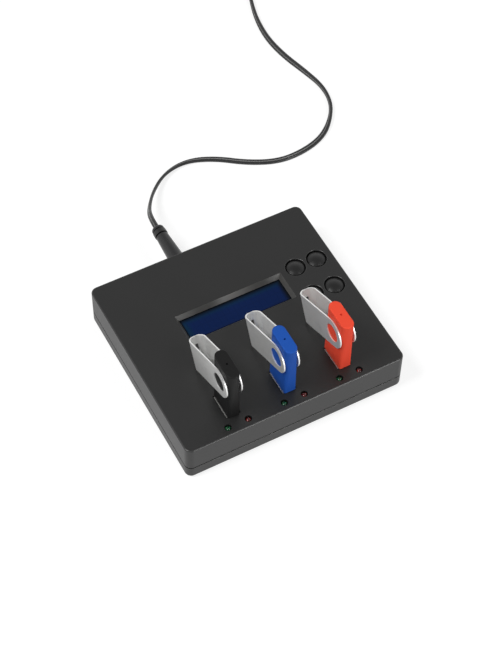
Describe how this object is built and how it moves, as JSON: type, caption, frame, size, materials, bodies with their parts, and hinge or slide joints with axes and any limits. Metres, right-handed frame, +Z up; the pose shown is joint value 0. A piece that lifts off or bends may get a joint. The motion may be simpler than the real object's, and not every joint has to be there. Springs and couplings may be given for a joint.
{
  "type": "usb flash drive duplicator",
  "caption": "Low square desktop box that copies flash drives: upright ports in its top, a recessed display, round push buttons, indicator lamps, plugged-in swivel drives and a power lead.",
  "frame": {"origin": "middle of the case's footprint, on the surface under its rubber feet", "axes": "+Z up; +X to the right of someone facing the ports, along the case's longer side; +Y to the rear, where the power inlet is"},
  "size_m": [0.2319, 0.4305, 0.0684],
  "materials": {
    "case_plastic": "fine-textured satin black moulded plastic",
    "rubber": "matt black rubber",
    "screw_steel": "zinc-plated steel",
    "circuit_board": "green solder mask over glass-fibre board",
    "display_frame_metal": "black painted sheet steel",
    "display_glass": "dark blue tinted display glass, gloss",
    "display_light_box": "blue-lit light guide",
    "header_plastic": "black moulded pin header",
    "green_lamp": "green tinted clear lamp body, unlit",
    "red_lamp": "red tinted clear lamp body, unlit",
    "spacer_plastic": "natural nylon",
    "switch_plastic": "black moulded switch housing",
    "button_plastic": "satin black moulded button",
    "jack_plastic": "black moulded inlet",
    "contact_metal": "nickel plating",
    "capacitor_sleeve": "bare aluminium cans",
    "chip_plastic": "black epoxy package",
    "crystal_can": "plated steel can",
    "socket_metal": "nickel-plated drawn steel",
    "socket_tongue_plastic": "black moulded contact block",
    "black_drive_plastic": "satin black moulded plastic",
    "blue_drive_plastic": "satin royal blue moulded plastic",
    "red_drive_plastic": "satin bright red moulded plastic",
    "plug_metal": "nickel-plated drawn steel",
    "plug_insert_plastic": "black moulded contact strip",
    "cover_metal": "satin silver sheet aluminium",
    "lead_plastic": "soft black cable sheath and moulded strain relief",
    "adapter_plastic": "black moulded adapter housing",
    "blade_metal": "nickel-plated blades"
  },
  "bodies": {
    "case": {"bottom_shell": "case_plastic", "top_shell": "case_plastic", "rubber_feet": "rubber", "case_screws": "screw_steel", "main_board": "circuit_board", "board_screws": "screw_steel", "display_screws": "screw_steel", "display_board": "circuit_board", "display_frame": "display_frame_metal", "display_glass": "display_glass", "display_backlight": "display_light_box", "display_header": "header_plastic", "green_leds": "green_lamp", "red_leds": "red_lamp", "led_spacers": "spacer_plastic", "tactile_switches": "switch_plastic", "dc_jack": "jack_plastic", "dc_jack_pin": "contact_metal", "capacitors": "capacitor_sleeve", "controller_chip": "chip_plastic", "memory_chip": "chip_plastic", "crystal": "crystal_can", "usb_socket_left": "socket_metal", "usb_tongue_left": "socket_tongue_plastic", "usb_socket_middle": "socket_metal", "usb_tongue_middle": "socket_tongue_plastic", "usb_socket_right": "socket_metal", "usb_tongue_right": "socket_tongue_plastic"},
    "drive_left": {"drive_body_left": "black_drive_plastic", "drive_plug_left": "plug_metal", "drive_insert_left": "plug_insert_plastic"},
    "cover_left": {"swivel_cover_left": "cover_metal"},
    "drive_middle": {"drive_body_middle": "blue_drive_plastic", "drive_plug_middle": "plug_metal", "drive_insert_middle": "plug_insert_plastic"},
    "cover_middle": {"swivel_cover_middle": "cover_metal"},
    "drive_right": {"drive_body_right": "red_drive_plastic", "drive_plug_right": "plug_metal", "drive_insert_right": "plug_insert_plastic"},
    "cover_right": {"swivel_cover_right": "cover_metal"},
    "button_rear_left": {"button_rear_left": "button_plastic", "switch_plunger_rear_left": "switch_plastic"},
    "button_rear_right": {"button_rear_right": "button_plastic", "switch_plunger_rear_right": "switch_plastic"},
    "button_front_left": {"button_front_left": "button_plastic", "switch_plunger_front_left": "switch_plastic"},
    "button_front_right": {"button_front_right": "button_plastic", "switch_plunger_front_right": "switch_plastic"},
    "power_lead": {"plug_barrel": "contact_metal", "plug_overmould": "lead_plastic", "power_cord": "lead_plastic", "cord_coil": "lead_plastic", "cord_tail": "lead_plastic", "adapter_sleeve": "lead_plastic", "adapter_body": "adapter_plastic", "adapter_blades": "blade_metal"}
  },
  "joints": [
    {"name": "drive_left_pull", "type": "slide", "parent": "case", "child": "drive_left", "axis": [0, 0, 1], "range_m": [0, 0.018]},
    {"name": "cover_left_swivel", "type": "hinge", "parent": "drive_left", "child": "cover_left", "pos_m": [-0.0357, -0.0445, 0.054], "axis": [1, 0, 0], "range_deg": [0, 230]},
    {"name": "drive_middle_pull", "type": "slide", "parent": "case", "child": "drive_middle", "axis": [0, 0, 1], "range_m": [0, 0.018]},
    {"name": "cover_middle_swivel", "type": "hinge", "parent": "drive_middle", "child": "cover_middle", "pos_m": [0, -0.0445, 0.054], "axis": [1, 0, 0], "range_deg": [0, 230]},
    {"name": "drive_right_pull", "type": "slide", "parent": "case", "child": "drive_right", "axis": [0, 0, 1], "range_m": [0, 0.018]},
    {"name": "cover_right_swivel", "type": "hinge", "parent": "drive_right", "child": "cover_right", "pos_m": [0.0357, -0.0445, 0.054], "axis": [1, 0, 0], "range_deg": [0, 230]},
    {"name": "button_rear_left_press", "type": "slide", "parent": "case", "child": "button_rear_left", "axis": [0, 0, -1], "range_m": [0, 0.0005], "stiffness_N_per_m": 600, "springref_m": -0.001},
    {"name": "button_rear_right_press", "type": "slide", "parent": "case", "child": "button_rear_right", "axis": [0, 0, -1], "range_m": [0, 0.0005], "stiffness_N_per_m": 600, "springref_m": -0.001},
    {"name": "button_front_left_press", "type": "slide", "parent": "case", "child": "button_front_left", "axis": [0, 0, -1], "range_m": [0, 0.0005], "stiffness_N_per_m": 600, "springref_m": -0.001},
    {"name": "button_front_right_press", "type": "slide", "parent": "case", "child": "button_front_right", "axis": [0, 0, -1], "range_m": [0, 0.0005], "stiffness_N_per_m": 600, "springref_m": -0.001},
    {"name": "power_plug_pull", "type": "slide", "parent": "case", "child": "power_lead", "axis": [0, 1, 0], "range_m": [0, 0.012]}
  ]
}
